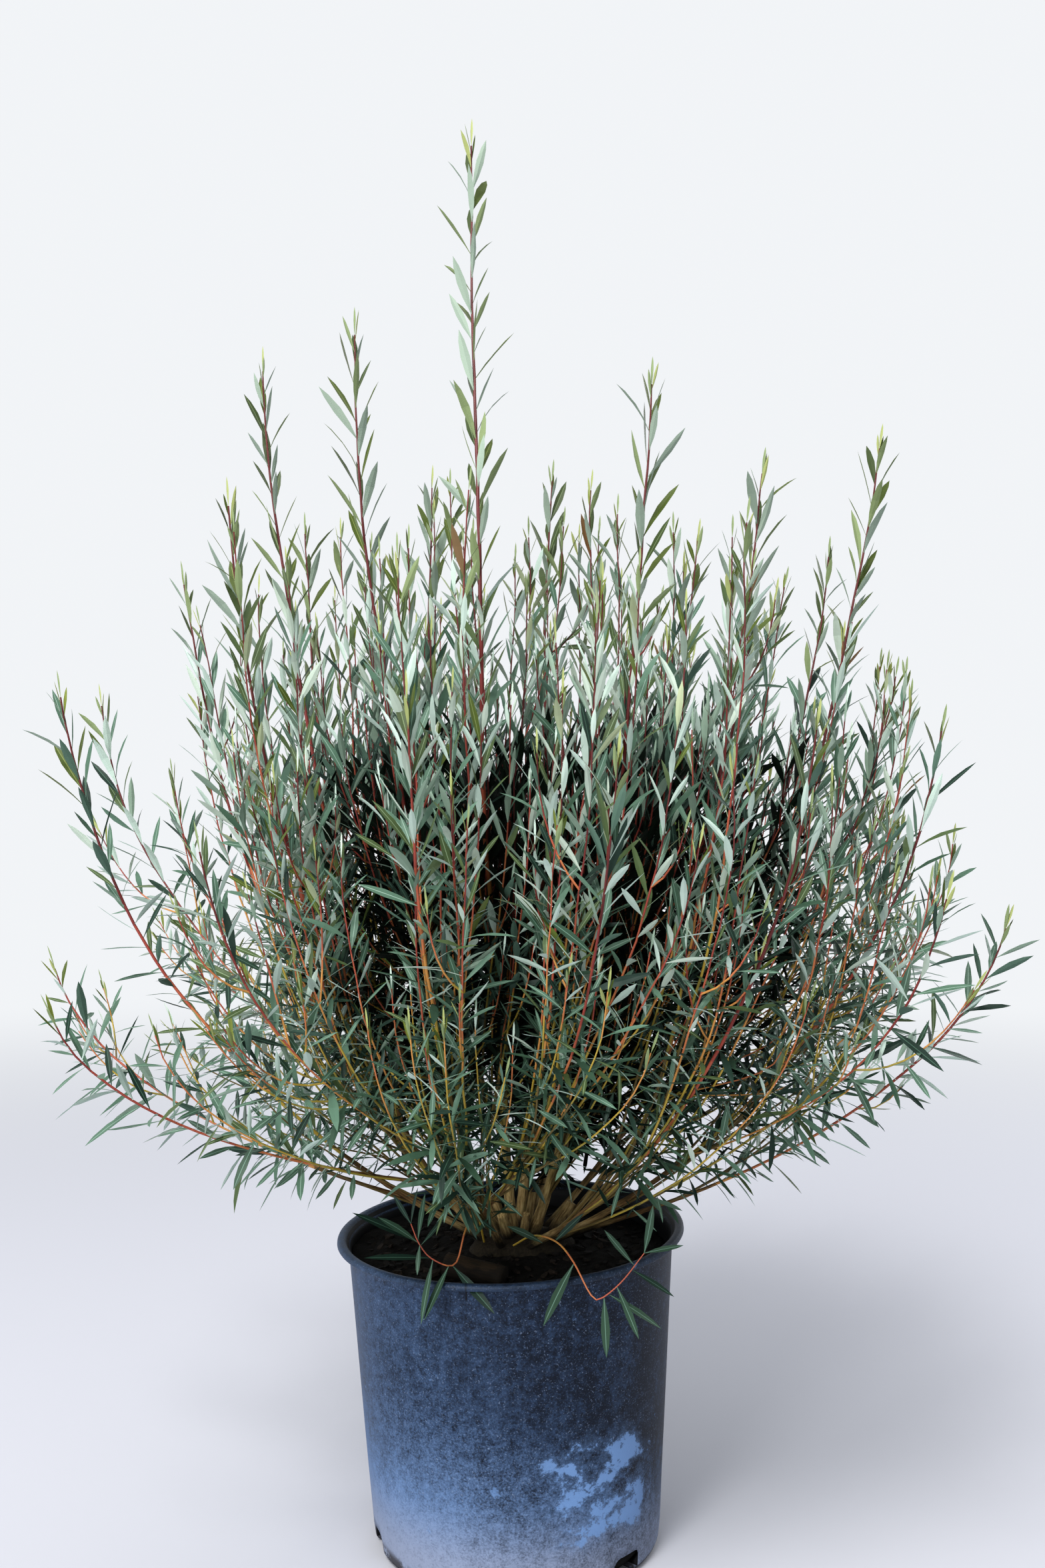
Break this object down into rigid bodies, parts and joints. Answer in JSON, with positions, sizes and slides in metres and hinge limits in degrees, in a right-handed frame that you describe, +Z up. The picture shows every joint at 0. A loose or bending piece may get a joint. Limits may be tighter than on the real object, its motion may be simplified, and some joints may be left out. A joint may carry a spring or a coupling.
{
  "type": "potted nana purple willow",
  "caption": "Bushy multi-stemmed purple willow shrub with narrow blue-green leaves and red young shoots, growing in a dark round plastic nursery pot.",
  "frame": {"origin": "centre of the pot's flat underside, on the ground", "axes": "+Z up along the plant, -Y towards the front of the plant as pictured, +X to its right"},
  "size_m": [1.1265, 1.0679, 1.5921],
  "materials": {
    "pot": "satin",
    "soil": "matte",
    "bark": "matte",
    "shoot": "satin",
    "leaf": "matte"
  },
  "bodies": {
    "root": {"bough_back_middle": "bark", "bough_centre_back": "bark", "bough_front_right": "bark", "bough_left_back": "bark", "bough_left_front_high": "bark", "bough_left_front_low": "bark", "bough_left_low": "bark", "bough_right_inner": "bark", "foliage_back_high": "leaf", "foliage_back_left": "leaf", "foliage_back_left_low": "leaf", "foliage_back_low": "leaf", "foliage_back_middle": "leaf", "foliage_back_right": "leaf", "foliage_centre_back": "leaf", "foliage_far_left_back": "leaf", "foliage_far_left_front": "leaf", "foliage_front_far_right": "leaf", "foliage_front_left": "leaf", "foliage_front_left_low": "leaf", "foliage_front_right": "leaf", "foliage_left_back": "leaf", "foliage_left_front": "leaf", "foliage_left_front_high": "leaf", "foliage_left_front_low": "leaf", "foliage_left_high": "leaf", "foliage_left_low": "leaf", "foliage_left_middle": "leaf", "foliage_right_back": "leaf", "foliage_right_back_inner": "leaf", "foliage_right_back_low": "leaf", "foliage_right_front": "leaf", "foliage_right_front_high": "leaf", "foliage_right_front_low": "leaf", "foliage_right_high": "leaf", "foliage_right_inner": "leaf", "foliage_right_low": "leaf", "foliage_rim_left": "leaf", "foliage_rim_right": "leaf", "foliage_tall_front": "leaf", "pot": "pot", "soil": "soil", "stem_back_high": "bark", "stem_back_left": "bark", "stem_back_right": "bark", "stem_far_left_front": "bark", "stem_front_far_right": "bark", "stem_front_left": "bark", "stem_left_front": "bark", "stem_left_high": "bark", "stem_left_middle": "bark", "stem_right_back": "bark", "stem_right_front": "bark", "stem_right_front_high": "bark", "stem_right_high": "bark", "stem_right_low": "bark", "stem_tall_front": "bark", "stool": "bark", "twig_rim_left": "bark", "twig_rim_right": "bark"}
  },
  "joints": []
}
